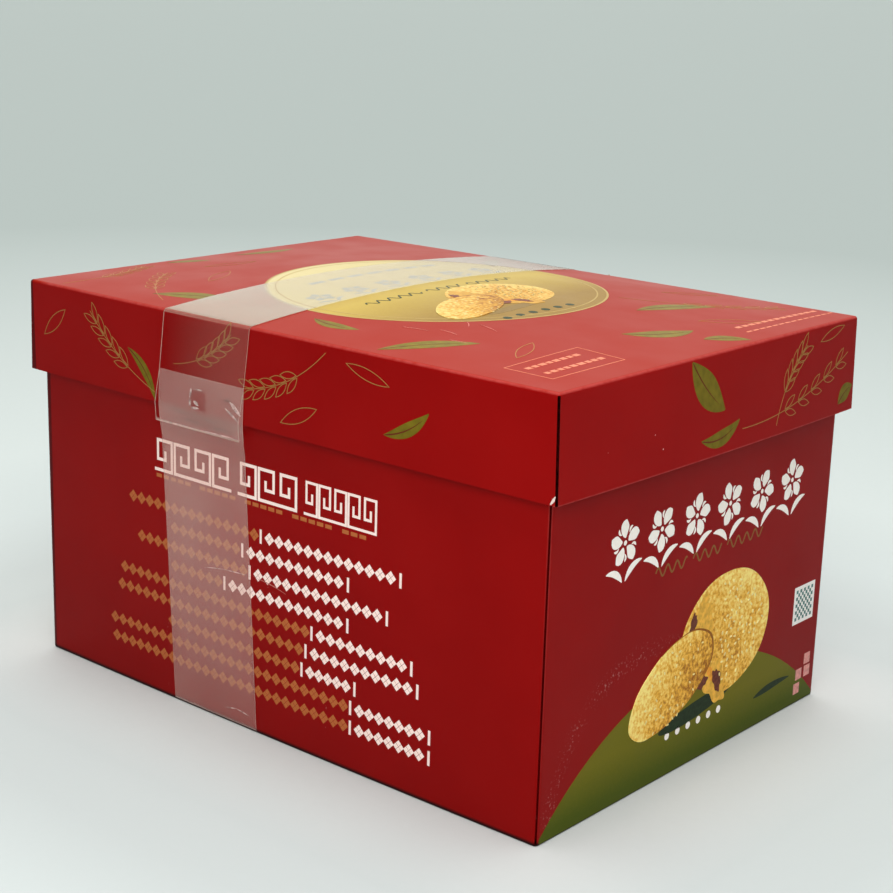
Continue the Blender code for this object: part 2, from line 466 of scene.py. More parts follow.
def set_flat(bm, verts, middle, size, turn):
    """Size, turn and move a flat shape of print."""
    bmesh.ops.scale(bm, vec=(*size, 1.0), verts=verts)
    matrix = Matrix.Rotation(turn, 3, "Z")
    bmesh.ops.rotate(bm, cent=(0.0, 0.0, 0.0), matrix=matrix, verts=verts)
    bmesh.ops.translate(bm, vec=(*middle, 0.0), verts=verts)


def bar(bm, middle, length, height, turn=0.0):
    made = bmesh.ops.create_grid(bm, x_segments=1, y_segments=1, size=0.5)["verts"]
    set_flat(bm, made, middle, (length, height), turn)


def brush(bm, line, width):
    """A stroke along a line of points: width is one number, or a list with one for each point."""
    steps = len(line) - 1
    closed = line[0] == line[-1]
    widths = width if isinstance(width, list) else [width] * (steps + 1)
    made = bmesh.ops.create_grid(bm, x_segments=steps, y_segments=1, size=0.5)["verts"]
    for vert in made:
        step = round((vert.co.x + 0.5) * steps)
        side = math.copysign(0.5, vert.co.y)
        here = Vector(line[step])
        before = here - Vector(line[step - 1] if step or not closed else line[-2])
        after = Vector(line[step + 1] if step < steps else line[1]) - here
        if not closed and step == 0:
            before = after
        if not closed and step == steps:
            after = before
        way = (before.normalized() + after.normalized()).normalized()
        across = Vector((-way.y, way.x))
        mitre = max(0.5, abs(way.dot(before.normalized())))
        spot = here + across * (side * widths[step] / mitre)
        vert.co = (spot.x, spot.y, 0.0)
    if closed:
        bmesh.ops.remove_doubles(bm, verts=made, dist=0.001 * MM)


def press(name, bm, wall, finish, layer=1, twice=True, tone=None):
    """Lay flat print on a wall as a thin closed layer, and on the opposite wall too.

    tone, where there is one, gives the shade of the ink at each place of the flat print.
    """
    for axis in (0, 1):
        places = [vert.co[axis] for vert in bm.verts]
        low, high = min(places), max(places)
        cells = math.ceil((high - low) / PRINT_CELL)
        cut_across(bm, axis, [low + (high - low) * step / cells for step in range(1, cells)])
    bmesh.ops.triangulate(bm, faces=bm.faces[:])
    if tone:
        shade = bm.verts.layers.float.new("tone")
        for vert in bm.verts:
            vert[shade] = tone(vert.co.x, vert.co.y)
    bmesh.ops.recalc_face_normals(bm, faces=bm.faces[:])
    grown = bmesh.ops.extrude_face_region(bm, geom=all_of(bm), use_keep_orig=True)["geom"]
    for vert in grown:
        if isinstance(vert, bmesh.types.BMVert):
            vert.co.z = layer * INK
    for vert in bm.verts:
        vert.co = wall(*vert.co)
    bmesh.ops.recalc_face_normals(bm, faces=bm.faces[:])
    if twice:
        copy = bmesh.ops.duplicate(bm, geom=all_of(bm))["geom"]
        copied = [item for item in copy if isinstance(item, bmesh.types.BMVert)]
        half_turn = Matrix.Rotation(math.pi, 3, "Z")
        bmesh.ops.rotate(bm, cent=(0.0, 0.0, 0.0), matrix=half_turn, verts=copied)
    return make_piece(name, bm, finish)


def ink(name, colour, unevenness=0.08, scale=700.0):
    """Print under the laminate, with the slight unevenness of its dots."""
    made, shader, place = new_finish(name, LAMINATE_IOR)
    thin = tuple(channel * (1.0 - unevenness) for channel in colour)
    full = tuple(min(1.0, channel * (1.0 + unevenness)) for channel in colour)
    return laminated(made, shader, place, mixed(grain(place, (scale, 3.0, 0.3, 0.7)), thin, full))


def lozenge_band(bm, start, end, height_at):
    """A band of small lozenges that stand together in fours."""
    cells = round((end - start) / LOZENGE_CELL)
    for cell in range(cells):
        u = start + (end - start) * (cell + 0.5) / cells
        for across, up in ((-1, 0), (1, 0), (0, -1), (0, 1)):
            middle = (u + across * LOZENGE_APART, height_at + up * LOZENGE_APART)
            bar(bm, middle, LOZENGE, LOZENGE, math.pi / 4.0)


white_ink = ink("white_ink", WHITE_INK, 0.04)
gold_ink = ink("gold_ink", GOLD_INK)

border = bmesh.new()
for start, keys, pitch in BORDER_LENGTHS:
    for key in range(keys):
        line = []
        for across, up in KEY_TURNS:
            mirrored = KEY_GRID - across if key % 2 else across
            u = start + pitch * (key + mirrored / KEY_GRID)
            line.append((u, BORDER_MIDDLE + BORDER_HEIGHT * (up / KEY_GRID - 0.5)))
        brush(border, line, min(BORDER_LINE, BORDER_LINE_SHARE * pitch))
press("border_on_long_walls", border, tray_long_wall, white_ink)

gold_rows = bmesh.new()
white_rows = bmesh.new()
fine_start, fine_end, fine_at = FINE_LINE
fine_pitch = FINE_DASH[0] + BAR_GAP
for step in range(int((fine_end - fine_start) / fine_pitch)):
    if step % (DASHES_TOGETHER + 1) != DASHES_TOGETHER:
        bar(gold_rows, (fine_start + fine_pitch * (step + 0.5), fine_at), *FINE_DASH)
for row, (start, turn, end) in enumerate(ROWS_MM):
    height_at = ROW_TOP - row * ROW_PITCH
    lozenge_band(gold_rows, start * MM, turn * MM - BAR_GAP, height_at)
    inset = END_BAR[0] + BAR_GAP
    lozenge_band(white_rows, turn * MM + inset, end * MM - inset, height_at)
    for place in (turn * MM, end * MM):
        bar(white_rows, (place, height_at), *END_BAR)
press("gold_rows_on_long_walls", gold_rows, tray_long_wall, gold_ink)
press("white_rows_on_long_walls", white_rows, tray_long_wall, white_ink)


# Print on the short ends. An olive hill rises from the foot, and two round pastries, the one
# behind broken open, lie on it in golden colours with sesame seeds. Over them are six white brushed
# blossoms and a fine wavy line, and beside them a lattice tile, four pink tiles and six dots.
END_WHITE_INK = (1.0, 0.91, 0.85)
TILE_INK = (0.90, 0.86, 0.83)
OLIVE_RIM = (0.155, 0.138, 0.009)
OLIVE_DEEP = (0.068, 0.090, 0.005)
BROWN_GOLD_INK = (0.24, 0.105, 0.028)
DARK_GREEN_INK = (0.020, 0.035, 0.016)
PINK_INK = (0.70, 0.30, 0.27)
TEAL_INK = (0.085, 0.190, 0.170)
CRUST_COLOURS = ((0.34, 0.115, 0.015), (0.84, 0.43, 0.052), (1.0, 0.79, 0.25))
PASTE_INK = (0.15, 0.042, 0.026)
PICTURE_INKS = {
    "_crumb_ink": (0.78, 0.42, 0.060),
    "_yolk_ink": (0.86, 0.34, 0.040),
    "_seed_ink": (0.90, 0.72, 0.32),
    "_under_ink": (0.30, 0.105, 0.016),
}
CRUMBS = (750.0, 3.0, 0.30, 0.70)
BAKED_PATCHES = (130.0, 3.0, 0.30, 0.70)
INK_DOTS = (700.0, 2.0, 0.3, 0.7)
HILL_MIDDLE = (0.0, -88.5 * MM)
HILL_RADIUS = 129.0 * MM
HILL_SHADING = (4.0 * MM, 20.0 * MM)
HILL_FOOT = 0.6 * MM
ROUND_CORNERS = 120
BLOSSOM_ROW = (-50.0 * MM, 62.0 * MM, 95.5 * MM)
BLOSSOMS = 6
BLOSSOM_SIZE = 23.5 * MM
# Where a petal or a sepal starts and ends, and its width, as shares of a blossom's size
PETAL = (0.08, 0.36, 0.20)
SEPAL = (0.17, 0.29, 0.045)
WAVES_MM = [(-30, -10), (-6, 13), (17, 42)]
WAVE_AT = 82.5 * MM
WAVE_HEIGHT = 1.8 * MM
WAVE_LENGTH = 6.0 * MM
WAVE_STEPS = 12
WAVE_LINE = 0.75 * MM
PICTURE_ON_END = (4.0 * MM, 42.0 * MM)
# Parts of the picture: across, up, half the width, half the height and the tilt, in its own units
BACK_PASTRY = (16.5, 5, 31, 24.5, 0.0)
FRONT_PASTRY = (-19, -7, 28, 16, 0.42)
FRONT_EDGE = (-18, -6.5, 28, 16, 0.42)
SHADE_BELOW = (-2, -21, 24, 3.4, 0.1)
BROKEN_FACE = [(-3, 8, 7.5, 16, -0.45), (10, -13, 6.5, 10.5, 0.75)]
YOLK = [(-1, 1, 2.0, 6.0, -0.6), (7, -9, 1.6, 4.0, 0.6)]
PASTE = [(-7, 14, 2.0, 4.4, -0.3), (12, -13, 2.6, 5.0, 0.4), (1.5, -11, 3.6, 2.6, 0.0)]
# The tone of a crust: in its middle, and its change to the right, to the top and to the rim
BACK_BAKING = (0.50, 0.12, 0.14, 0.14)
FRONT_BAKING = (0.50, -0.26, 0.32, 0.02)
SEEDS = 110
SEED_SIZE = (0.8, 0.4)
SEEDS_APART = 2.2
SEEDS_REACH = 0.84
WHOLE_SIDE = (13, -14)
TILE_AT = (79.5 * MM, 43.5 * MM)
TILE_SIZE = 16.0 * MM
LATTICE = 9
LATTICE_FILL = 0.96
PINK_TILES_MM = [(86, 18), (80, 12.5), (86.5, 12.5), (79, 6.5)]
PINK_TILE = 4.6 * MM
DARK_STROKE = ((45.0 * MM, 12.5 * MM), (72.0 * MM, 14.0 * MM), 0.8 * MM)
DOT_ROW = (-16.0 * MM, 19.0 * MM, 16.0 * MM, 1.5 * MM)
DOTS = 6


def tray_end_wall(u, v, rise):
    under = max(0.0, FOOT_FOLD - v)
    tuck = FOOT_FOLD - math.sqrt(FOOT_FOLD * FOOT_FOLD - under * under)
    return Vector((TRAY_END - tuck + rise, u, v))


def disc(bm, middle, half_width, half_height, corners=48, tilt=0.0, reach=None):
    """A filled oval. reach, where there is one, gives its uneven edge: 1 is full, at each angle."""
    made = bmesh.ops.create_circle(bm, cap_ends=True, segments=corners, radius=1.0)["verts"]
    for vert in made:
        vert.co *= reach(math.atan2(vert.co.y, vert.co.x)) if reach else 1.0
    set_flat(bm, made, middle, (half_width, half_height), tilt)


def tapered(line, widest, at=0.4):
    """Brush widths: thin at both ends of a line, and widest at a share of its length."""
    last = len(line) - 1
    widths = []
    for step in range(last + 1):
        share = step / last
        swell = share / at if share < at else (1.0 - share) / (1.0 - at)
        widths.append(widest * (0.12 + 0.88 * math.sin(math.pi / 2.0 * swell) ** 0.8))
    return widths


def arc_between(start, end, bend, steps=14):
    """A bent line from start to end: bend is how far its middle stands off, to the left."""
    start, end = Vector(start), Vector(end)
    way = (end - start).normalized()
    across = Vector((-way.y, way.x))
    line = []
    for step in range(steps + 1):
        share = step / steps
        line.append(tuple(start.lerp(end, share) + across * (bend * 4.0 * share * (1.0 - share))))
    return line


def blossom(bm, u, v, size, turn):
    """A brushed five-petal blossom over two bent leaves, none of which touch."""
    middle = Vector((u, v + 0.13 * size))
    disc(bm, middle, 0.04 * size, 0.04 * size, 12)
    for petal in range(10):
        angle = turn + math.pi * petal / 5.0
        way = Vector((math.cos(angle), math.sin(angle)))
        start, end, width = SEPAL if petal % 2 else PETAL
        line = arc_between(middle + way * start * size, middle + way * end * size, 0.03 * size, 8)
        brush(bm, line, tapered(line, width * size, 0.62))
    for side, rise in ((-1.0, -0.27), (1.0, -0.21)):
        foot = (u + side * 0.04 * size, v - 0.47 * size)
        tip = (u + side * 0.45 * size, v + rise * size)
        line = arc_between(foot, tip, side * 0.07 * size, 8)
        brush(bm, line, tapered(line, 0.11 * size, 0.45))


def wave(bm, start, end, height_at):
    steps = round((end - start) / (WAVE_LENGTH / WAVE_STEPS))
    line = []
    for step in range(steps + 1):
        swing = WAVE_HEIGHT * math.sin(2.0 * math.pi * step / WAVE_STEPS)
        line.append((start + (end - start) * step / steps, height_at + swing))
    brush(bm, line, WAVE_LINE)


def row_of_dots(bm, start, end, height_at, radius):
    for step in range(DOTS):
        disc(bm, (start + (end - start) * step / (DOTS - 1), height_at), radius, radius, 16)


def crust_ink(name, strength):
    """Golden baked crust: its tone runs from brown to pale, and crumbs and pits break it up."""
    made, shader, place = new_finish(name, LAMINATE_IOR)
    brown, golden, pale = (tuple(strength * part for part in colour) for colour in CRUST_COLOURS)
    crumbs = grain(place, CRUMBS, -0.36, 0.36)
    patches = grain(place, BAKED_PATCHES, -0.16, 0.16)
    tone = worked_out("ADD", attribute(place, "tone"), worked_out("ADD", crumbs, patches))
    colour = mixed(ranged(tone, 0.0, 0.5), brown, golden)
    return laminated(made, shader, place, mixed(ranged(tone, 0.5, 1.0), colour, pale))


def shaded_ink(name, near, far, middle, axes, start, end):
    """An ink that shades from one colour to another with the distance from a middle point."""
    made, shader, place = new_finish(name, LAMINATE_IOR)
    share = ranged(distance_to(place, middle, axes), start, end)
    share = worked_out("ADD", share, grain(place, INK_DOTS, -0.06, 0.06))
    return laminated(made, shader, place, mixed(share, near, far))


def broken_edge(angle):
    """The reach of a round pastry that has lost a piece at its lower left."""
    away = abs((angle + 2.25 + math.pi) % (2.0 * math.pi) - math.pi)
    lost = 0.42 * max(0.0, 1.0 - (away / 0.62) ** 4)
    crumbling = 0.05 * math.sin(17.0 * angle) if lost else 0.0
    return 1.0 - lost + 0.005 * math.sin(7.0 * angle) + crumbling


def lumpy_edge(angle):
    return 1.0 + 0.14 * math.sin(3.0 * angle + 1.0) + 0.10 * math.sin(7.0 * angle)


def leaning_edge(angle):
    """The reach of a whole pastry that leans: round above and flatter where it lies."""
    return 1.0 - 0.20 * max(0.0, -math.sin(angle + 0.2)) ** 2 + 0.006 * math.sin(9.0 * angle)


def pastry_picture(name, wall, origin, under, twice, scale=1.0, strength=1.0):
    """A round pastry, broken open at one side, behind a whole one, drawn layer on layer."""
    u, v = origin
    unit = scale * MM
    crust = crust_ink(name + "_crust_ink", strength)
    crumb_ink, yolk_ink, seed_ink, under_ink = (
        ink(name + part, tuple(strength * channel for channel in colour), 0.22, 500.0)
        for part, colour in PICTURE_INKS.items()
    )

    def oval(bm, across, up, half_width, half_height, tilt, reach=None, corners=96):
        middle = (u + across * unit, v + up * unit)
        disc(bm, middle, half_width * unit, half_height * unit, corners, tilt, reach)

    def baked(area, baking):
        """The tone of a crust at each place of its area."""
        across, up, half_width, half_height, tilt = area
        middle, to_right, to_top, to_rim = baking

        def tone(x, y):
            off = Vector(((x - u) / unit - across, (y - v) / unit - up))
            off.rotate(Matrix.Rotation(-tilt, 2))
            right, top = off.x / half_width, off.y / half_height
            return middle + to_right * right + to_top * top + to_rim * (right * right + top * top)

        return tone

    parts = (
        ("_shade", under, [SHADE_BELOW], None, None),
        ("_back", crust, [BACK_PASTRY], broken_edge, BACK_BAKING),
        ("_broken_face", crumb_ink, BROKEN_FACE, lumpy_edge, None),
        ("_yolk", yolk_ink, YOLK, lumpy_edge, None),
        ("_paste", paste_ink, PASTE, lumpy_edge, None),
        ("_front_edge", under_ink, [FRONT_EDGE], leaning_edge, None),
        ("_front", crust, [FRONT_PASTRY], leaning_edge, FRONT_BAKING),
    )
    for layer, (part, finish, areas, reach, baking) in enumerate(parts, 2):
        bm = bmesh.new()
        for area in areas:
            oval(bm, *area, reach)
        tone = baked(areas[0], baking) if baking else None
        press(name + part, bm, wall, finish, layer, twice, tone)

    seeds = bmesh.new()
    drawn = random.Random(11)
    placed = []
    while len(placed) < SEEDS:
        on_front = len(placed) % 3 == 0
        across, up, half_width, half_height, tilt = FRONT_PASTRY if on_front else BACK_PASTRY
        angle = drawn.uniform(0.0, 2.0 * math.pi)
        reach = SEEDS_REACH * math.sqrt(drawn.random())
        spot = Vector((half_width * reach * math.cos(angle), half_height * reach * math.sin(angle)))
        spot.rotate(Matrix.Rotation(tilt, 2))
        spot += Vector((across, up))
        clear = on_front or spot.x > WHOLE_SIDE[0] and spot.y > WHOLE_SIDE[1]
        if clear and all((spot - other).length > SEEDS_APART for other in placed):
            placed.append(spot)
            oval(seeds, *spot, *SEED_SIZE, drawn.uniform(0.0, math.pi), corners=8)
    press(name + "_seeds", seeds, wall, seed_ink, len(parts) + 2, twice)


brown_gold_ink = ink("brown_gold_ink", BROWN_GOLD_INK)
paste_ink = ink("paste_ink", PASTE_INK, 0.35)
shade_ink = ink("shade_ink", DARK_GREEN_INK, 0.2)
end_white_ink = ink("end_white_ink", END_WHITE_INK, 0.04)
from_floor = ((0.0, 0.0, 0.0), (0.0, 0.0, 1.0))
olive_ink = shaded_ink("olive_ink", OLIVE_DEEP, OLIVE_RIM, *from_floor, *HILL_SHADING)

hill = bmesh.new()
disc(hill, HILL_MIDDLE, HILL_RADIUS, HILL_RADIUS, ROUND_CORNERS)
cut(hill, (0.0, HILL_FOOT, 0.0), (0.0, -1.0, 0.0), True)
for side in (1.0, -1.0):
    cut(hill, (side * (TRAY_Y - TRAY_FOLD), 0.0, 0.0), (side, 0.0, 0.0), True)
cut_across(hill, 1, [FOOT_FOLD])
press("hill_on_ends", hill, tray_end_wall, olive_ink)

pastry_picture("pastry_on_ends", tray_end_wall, PICTURE_ON_END, shade_ink, True)

blossoms = bmesh.new()
first, last, blossom_at = BLOSSOM_ROW
for step in range(BLOSSOMS):
    place = first + (last - first) * step / (BLOSSOMS - 1)
    blossom(blossoms, place, blossom_at, BLOSSOM_SIZE, 0.3 + 0.5 * step)
press("blossoms_on_ends", blossoms, tray_end_wall, end_white_ink)

waves = bmesh.new()
for start, end in WAVES_MM:
    wave(waves, start * MM, end * MM, WAVE_AT)
press("wavy_line_on_ends", waves, tray_end_wall, brown_gold_ink)

tile = bmesh.new()
bar(tile, TILE_AT, TILE_SIZE, TILE_SIZE)
press("tile_on_ends", tile, tray_end_wall, ink("tile_ink", TILE_INK, 0.04))
lattice = bmesh.new()
module = TILE_SIZE / (LATTICE + 2)
steps = [step - LATTICE // 2 for step in range(LATTICE)]
for across in steps:
    for up in steps:
        if (across + up) % 2 == 0:
            middle = (TILE_AT[0] + across * module, TILE_AT[1] + up * module)
            bar(lattice, middle, LATTICE_FILL * module, LATTICE_FILL * module)
press("lattice_on_ends", lattice, tray_end_wall, ink("teal_ink", TEAL_INK, 0.2), 2)

pink_tiles = bmesh.new()
for across, up in PINK_TILES_MM:
    bar(pink_tiles, (across * MM, up * MM), PINK_TILE, PINK_TILE)
press("pink_tiles_on_ends", pink_tiles, tray_end_wall, ink("pink_ink", PINK_INK, 0.2), 2)

dark_stroke = bmesh.new()
line = arc_between(*DARK_STROKE)
brush(dark_stroke, line, tapered(line, 3.0 * MM))
press("dark_stroke_on_ends", dark_stroke, tray_end_wall, shade_ink, 2)

dots = bmesh.new()
row_of_dots(dots, *DOT_ROW)
press("dots_on_ends", dots, tray_end_wall, end_white_ink, 2)


# Print on the lid's panel. A large round field, cream on one half and gold on the other, has a
# thin gold ring near its edge, small pale blossoms, bars, a wavy line and the same pastries.
# Beside it lie a thin orange frame with two rows of bars, and two more rows near the short end.
ROUND_RADIUS = 67.7 * MM
ROUND_SPLIT = -4.0 * MM
CREAM = (0.52, 0.45, 0.225)
CREAM_DEEP = (0.47, 0.39, 0.175)
FIELD_GOLD = (0.40, 0.285, 0.050)
FIELD_OCHRE = (0.235, 0.140, 0.028)
FIELD_SHADING = 42.0 * MM
RING_INK = (0.36, 0.25, 0.080)
PALE_BLUE_INK = (0.30, 0.33, 0.30)
SOFT_SHADE_INK = (0.20, 0.125, 0.035)
ORANGE_INK = (0.56, 0.175, 0.098)
PICTURE_ON_ROUND = (-9.0 * MM, -33.0 * MM)
RINGS = [(ROUND_RADIUS, 0.9 * MM), (ROUND_RADIUS - 4.0 * MM, 0.6 * MM)]
# Rows in millimetres: the first one's middle, the step to the next, the height and the size
PALE_BLOSSOMS_MM = (-50.0, 19.0, 13.0, 16.0)
PALE_BARS_MM = (-31.0, 11.0, 36.0, (8.0 * MM, 3.0 * MM))
DARK_WAVES_MM = [(-48.0, -18.0), (-14.0, 6.0), (10.0, 37.0)]
DARK_WAVE_AT = -7.5 * MM
DARK_DOTS = (-28.0 * MM, 9.5 * MM, -59.0 * MM, 1.8 * MM)
FRAME_MM = (-83.0, -43.0, -122.0, -102.0)
FRAME_LINE = 0.38 * MM
FRAME_ROWS = (-108.0 * MM, -116.0 * MM)
FRAME_INSET = 4.0 * MM
END_ROWS_MM = [(35.0, 92.0, -118.5, 2.0), (33.0, 97.0, -124.5, 1.0)]
END_ROW_DASH_MM = (3.4, 4.6)
BAR_LENGTHS = (2.2 * MM, 3.8 * MM)
BAR_HEIGHT = 2.2 * MM


def lid_panel(u, v, rise):
    """The panel as it is read from the short end: u runs along Y, and v away from that end."""
    return Vector((-v, bowed(-v, u), HEIGHT + dome_at(-v, u) + rise))


def row_of_bars(bm, start, end, height_at, chance):
    """Short bars of uneven length, set one after another."""
    place = start
    while place < end - BAR_LENGTHS[0]:
        length = min(chance.uniform(*BAR_LENGTHS), end - place)
        bar(bm, (place + length / 2.0, height_at), length, BAR_HEIGHT)
        place += length + BAR_GAP


def half_round(keep):
    """Half of the round field: keep is 1.0 for the half towards the far end, or -1.0."""
    bm = bmesh.new()
    disc(bm, (0.0, 0.0), ROUND_RADIUS, ROUND_RADIUS, ROUND_CORNERS)
    cut(bm, (0.0, -ROUND_SPLIT, 0.0), (0.0, -keep, 0.0), True)
    return bm


def ring(bm, radius, width):
    angles = [2.0 * math.pi * step / ROUND_CORNERS for step in range(ROUND_CORNERS)]
    line = [(radius * math.cos(angle), radius * math.sin(angle)) for angle in angles]
    brush(bm, line + line[:1], width)


over_field = ((0.0, -ROUND_RADIUS, 0.0), (0.0, 1.0, 0.0), 0.0, 2.0 * ROUND_RADIUS)
cream = shaded_ink("cream_ink", CREAM, CREAM_DEEP, *over_field)
from_split = ((-ROUND_SPLIT, 0.0, 0.0), (1.0, 0.0, 0.0), 0.0, FIELD_SHADING)
gold_field = shaded_ink("gold_field_ink", FIELD_GOLD, FIELD_OCHRE, *from_split)
press("cream_half_on_lid", half_round(1.0), lid_panel, cream, 1, False)
press("gold_half_on_lid", half_round(-1.0), lid_panel, gold_field, 1, False)

rings = bmesh.new()
for radius, width in RINGS:
    ring(rings, radius, width)
press("rings_on_lid", rings, lid_panel, ink("ring_ink", RING_INK), 2, False)

pale_row = bmesh.new()
first, pitch, height_at, size = PALE_BLOSSOMS_MM
for step in range(6):
    blossom(pale_row, (first + pitch * step) * MM, height_at * MM, size * MM, 0.5 * step)
first, pitch, height_at, size = PALE_BARS_MM
for step in range(7):
    bar(pale_row, ((first + pitch * step) * MM, height_at * MM), *size)
pale_blue_ink = ink("pale_blue_ink", PALE_BLUE_INK, 0.15)
press("pale_blossoms_on_lid", pale_row, lid_panel, pale_blue_ink, 2, False)

dark_row = bmesh.new()
for start, end in DARK_WAVES_MM:
    wave(dark_row, start * MM, end * MM, DARK_WAVE_AT)
row_of_dots(dark_row, *DARK_DOTS)
press("dark_line_on_lid", dark_row, lid_panel, shade_ink, 2, False)

soft_shade = ink("soft_shade_ink", SOFT_SHADE_INK)
pastry_picture("pastry_on_lid", lid_panel, PICTURE_ON_ROUND, soft_shade, False, 0.78, 0.60)

orange = bmesh.new()
chance = random.Random(7)
left, right, low, high = (number * MM for number in FRAME_MM)
around = [(left, low), (right, low), (right, high), (left, high), (left, low)]
brush(orange, around, FRAME_LINE)
for v in FRAME_ROWS:
    row_of_bars(orange, left + FRAME_INSET, right - FRAME_INSET, v, chance)
for place, end, v, height in END_ROWS_MM:
    while place < end:
        bar(orange, (place * MM, v * MM), END_ROW_DASH_MM[0] * MM, height * MM)
        place += END_ROW_DASH_MM[1]
press("orange_frame_on_lid", orange, lid_panel, ink("orange_ink", ORANGE_INK, 0.1), 1, False)


# Leaves and ears on the lid. Plain olive leaves with a dark rib, and bare leaves and ears of grain
# drawn in a thin gold line, are scattered over the panel and down the four walls.
GOLD_LINE_INK = (0.32, 0.165, 0.046)
LEAF_GREEN = (0.150, 0.114, 0.009)
RIB_INK = (0.120, 0.020, 0.008)
OUTLINE = 0.27 * MM
LEAF_STEPS = 18
EAR_STEPS = 24
GRAINS_ON_EAR = range(9, EAR_STEPS, 3)
# Leaves: the foot, the tip, the width and the bend
LEAVES_MM = {
    "panel": [
        ((-83, 74), (-73, 40), 9, 2), ((-30, 128), (-14, 118), 7, 2), ((6, 124), (38, 120), 7, -2),
        ((-75, -7), (-77, -31), 6, -2), ((-92, -54), (-64, -76), 9, 2), ((24, -80), (60, -92), 9, 3),
        ((-14, -100), (14, -112), 9, -3), ((6, -122), (22, -132), 7, 2), ((60, 20), (84, 38), 7, 2),
    ],
    "long_walls": [((-73, 141), (-57, 123), 4.5, 2.5), ((62, 132), (82, 143), 5, -2)],
    "end_walls": [
        ((-21, 158), (0, 138), 12, -1.5), ((-15, 129), (10, 133), 6, -3), ((84, 126), (95, 132), 7, 1),
    ],
}
# Ears: the foot, the tip and the bend
EARS_MM = {
    "panel": [((-88, 62), (-50, 104), 4), ((-93, 118), (-42, 128), -5), ((40, -60), (86, -108), -6)],
    "long_walls": [((-57, 126), (-96, 152), 3), ((-46, 139), (-14, 155), -3), ((34, 156), (-8, 136), 4)],
    "end_walls": [((12, 129), (90, 146), -5), ((36, 126), (58, 153), 3)],
}
# Bare leaves: the foot, the tip and the width
BARE_LEAVES_MM = {
    "panel": [
        ((-54, 74), (-32, 86), 6), ((-30, 104), (-6, 98), 6), ((52, -118), (30, -104), 6),
        ((-70, -97), (-50, -88), 5), ((70, -60), (88, -76), 5),
    ],
    "long_walls": [((-112, 150), (-126, 138), 5), ((12, 127), (30, 135), 5), ((44, 154), (64, 149), 4)],
    "end_walls": [((68, 153), (86, 157), 3.6)],
}


def lid_long_wall(u, v, rise):
    return Vector((u, -bowed(u, SIDE_Y) - rise, v))


def lid_end_wall(u, v, rise):
    drop = (HEIGHT - v) / LID_DEPTH
    flare = drop * (RIM_FLARE + RIM_BOW * fullness(u, LID_WIDTH))
    return Vector((LID_LENGTH / 2.0 + flare + rise, u, v))


def scaled(point):
    return (point[0] * MM, point[1] * MM)


def leaf(blades, ribs, foot, tip, width, bend):
    line = arc_between(scaled(foot), scaled(tip), bend * MM, LEAF_STEPS)
    shares = [(step + 0.2) / (LEAF_STEPS + 0.4) for step in range(LEAF_STEPS + 1)]
    brush(blades, line, [width * MM * math.sin(math.pi * share) ** 0.9 for share in shares])
    rib = line[:-3]
    brush(ribs, rib, tapered(rib, 0.5 * MM, 0.1))


def pointed(lines, start, end, bend, steps=14):
    """The closed outline of a grain or a bare leaf."""
    back = arc_between(end, start, bend, steps)
    brush(lines, arc_between(start, end, bend, steps) + back[1:], OUTLINE)


def ear(lines, foot, tip, bend):
    """A stem whose upper part carries pairs of pointed grains, all in outline."""
    stem = arc_between(scaled(foot), scaled(tip), bend * MM, EAR_STEPS)
    brush(lines, stem, OUTLINE)
    for step in GRAINS_ON_EAR:
        joint = Vector(stem[step])
        way = (Vector(stem[step + 1]) - Vector(stem[step - 1])).normalized()
        for side in (-1.0, 1.0):
            out = Vector((-way.y, way.x)) * side
            end = joint + way * 7.5 * MM + out * 3.6 * MM
            pointed(lines, joint + out * 0.5 * MM, end, side * 1.3 * MM, 8)


leaf_ink = ink("leaf_ink", LEAF_GREEN, 0.18, 300.0)
rib_ink = ink("rib_ink", RIB_INK)
gold_line_ink = ink("gold_line_ink", GOLD_LINE_INK)
for place_name, wall, twice in (
    ("panel", lid_panel, False),
    ("long_walls", lid_long_wall, True),
    ("end_walls", lid_end_wall, True),
):
    blades, ribs, outlines = bmesh.new(), bmesh.new(), bmesh.new()
    for foot, tip, width, bend in LEAVES_MM[place_name]:
        leaf(blades, ribs, foot, tip, width, bend)
    for foot, tip, bend in EARS_MM[place_name]:
        ear(outlines, foot, tip, bend)
    for foot, tip, width in BARE_LEAVES_MM[place_name]:
        pointed(outlines, scaled(foot), scaled(tip), 0.5 * width * MM)
    press("leaves_on_lid_" + place_name, blades, wall, leaf_ink, 1, twice)
    press("leaf_ribs_on_lid_" + place_name, ribs, wall, rib_ink, 2, twice)
    press("ears_on_lid_" + place_name, outlines, wall, gold_line_ink, 2, twice)


# Marks of handling. A sliver of board core shows where the lid's near corner tore at the rim,
# specks of print have chipped off its short wall, and fine pale scratches cross its panel and one
# long wall.
TORN_MM = [(133.5, 122.6), (134.6, 124.2), (135.3, 125.6)]
TORN_WIDTHS = [0.5 * MM, 1.1 * MM, 0.3 * MM]
CHIPS_MM = [(-70.4, 135.2, 0.32), (-38.6, 130.7, 0.28), (-43.4, 136.5, 0.20)]
SCRATCHES_ON_PANEL = [
    ((-59.2, -53.5), (-60.5, -62.5)), ((-43.7, -59.1), (-47.2, -69.8)),
    ((-44.0, -53.0), (-49.1, -58.0)), ((-67.6, -64.9), (-67.0, -73.5)),
    ((-64.9, -40.4), (-62.9, -51.5)),
]
SCRATCHES_ON_WALL = [((-4.0, 62.8), (11.5, 60.4))]
SCRATCH = 0.3 * MM
SCRATCHED = (0.50, 0.17, 0.14)

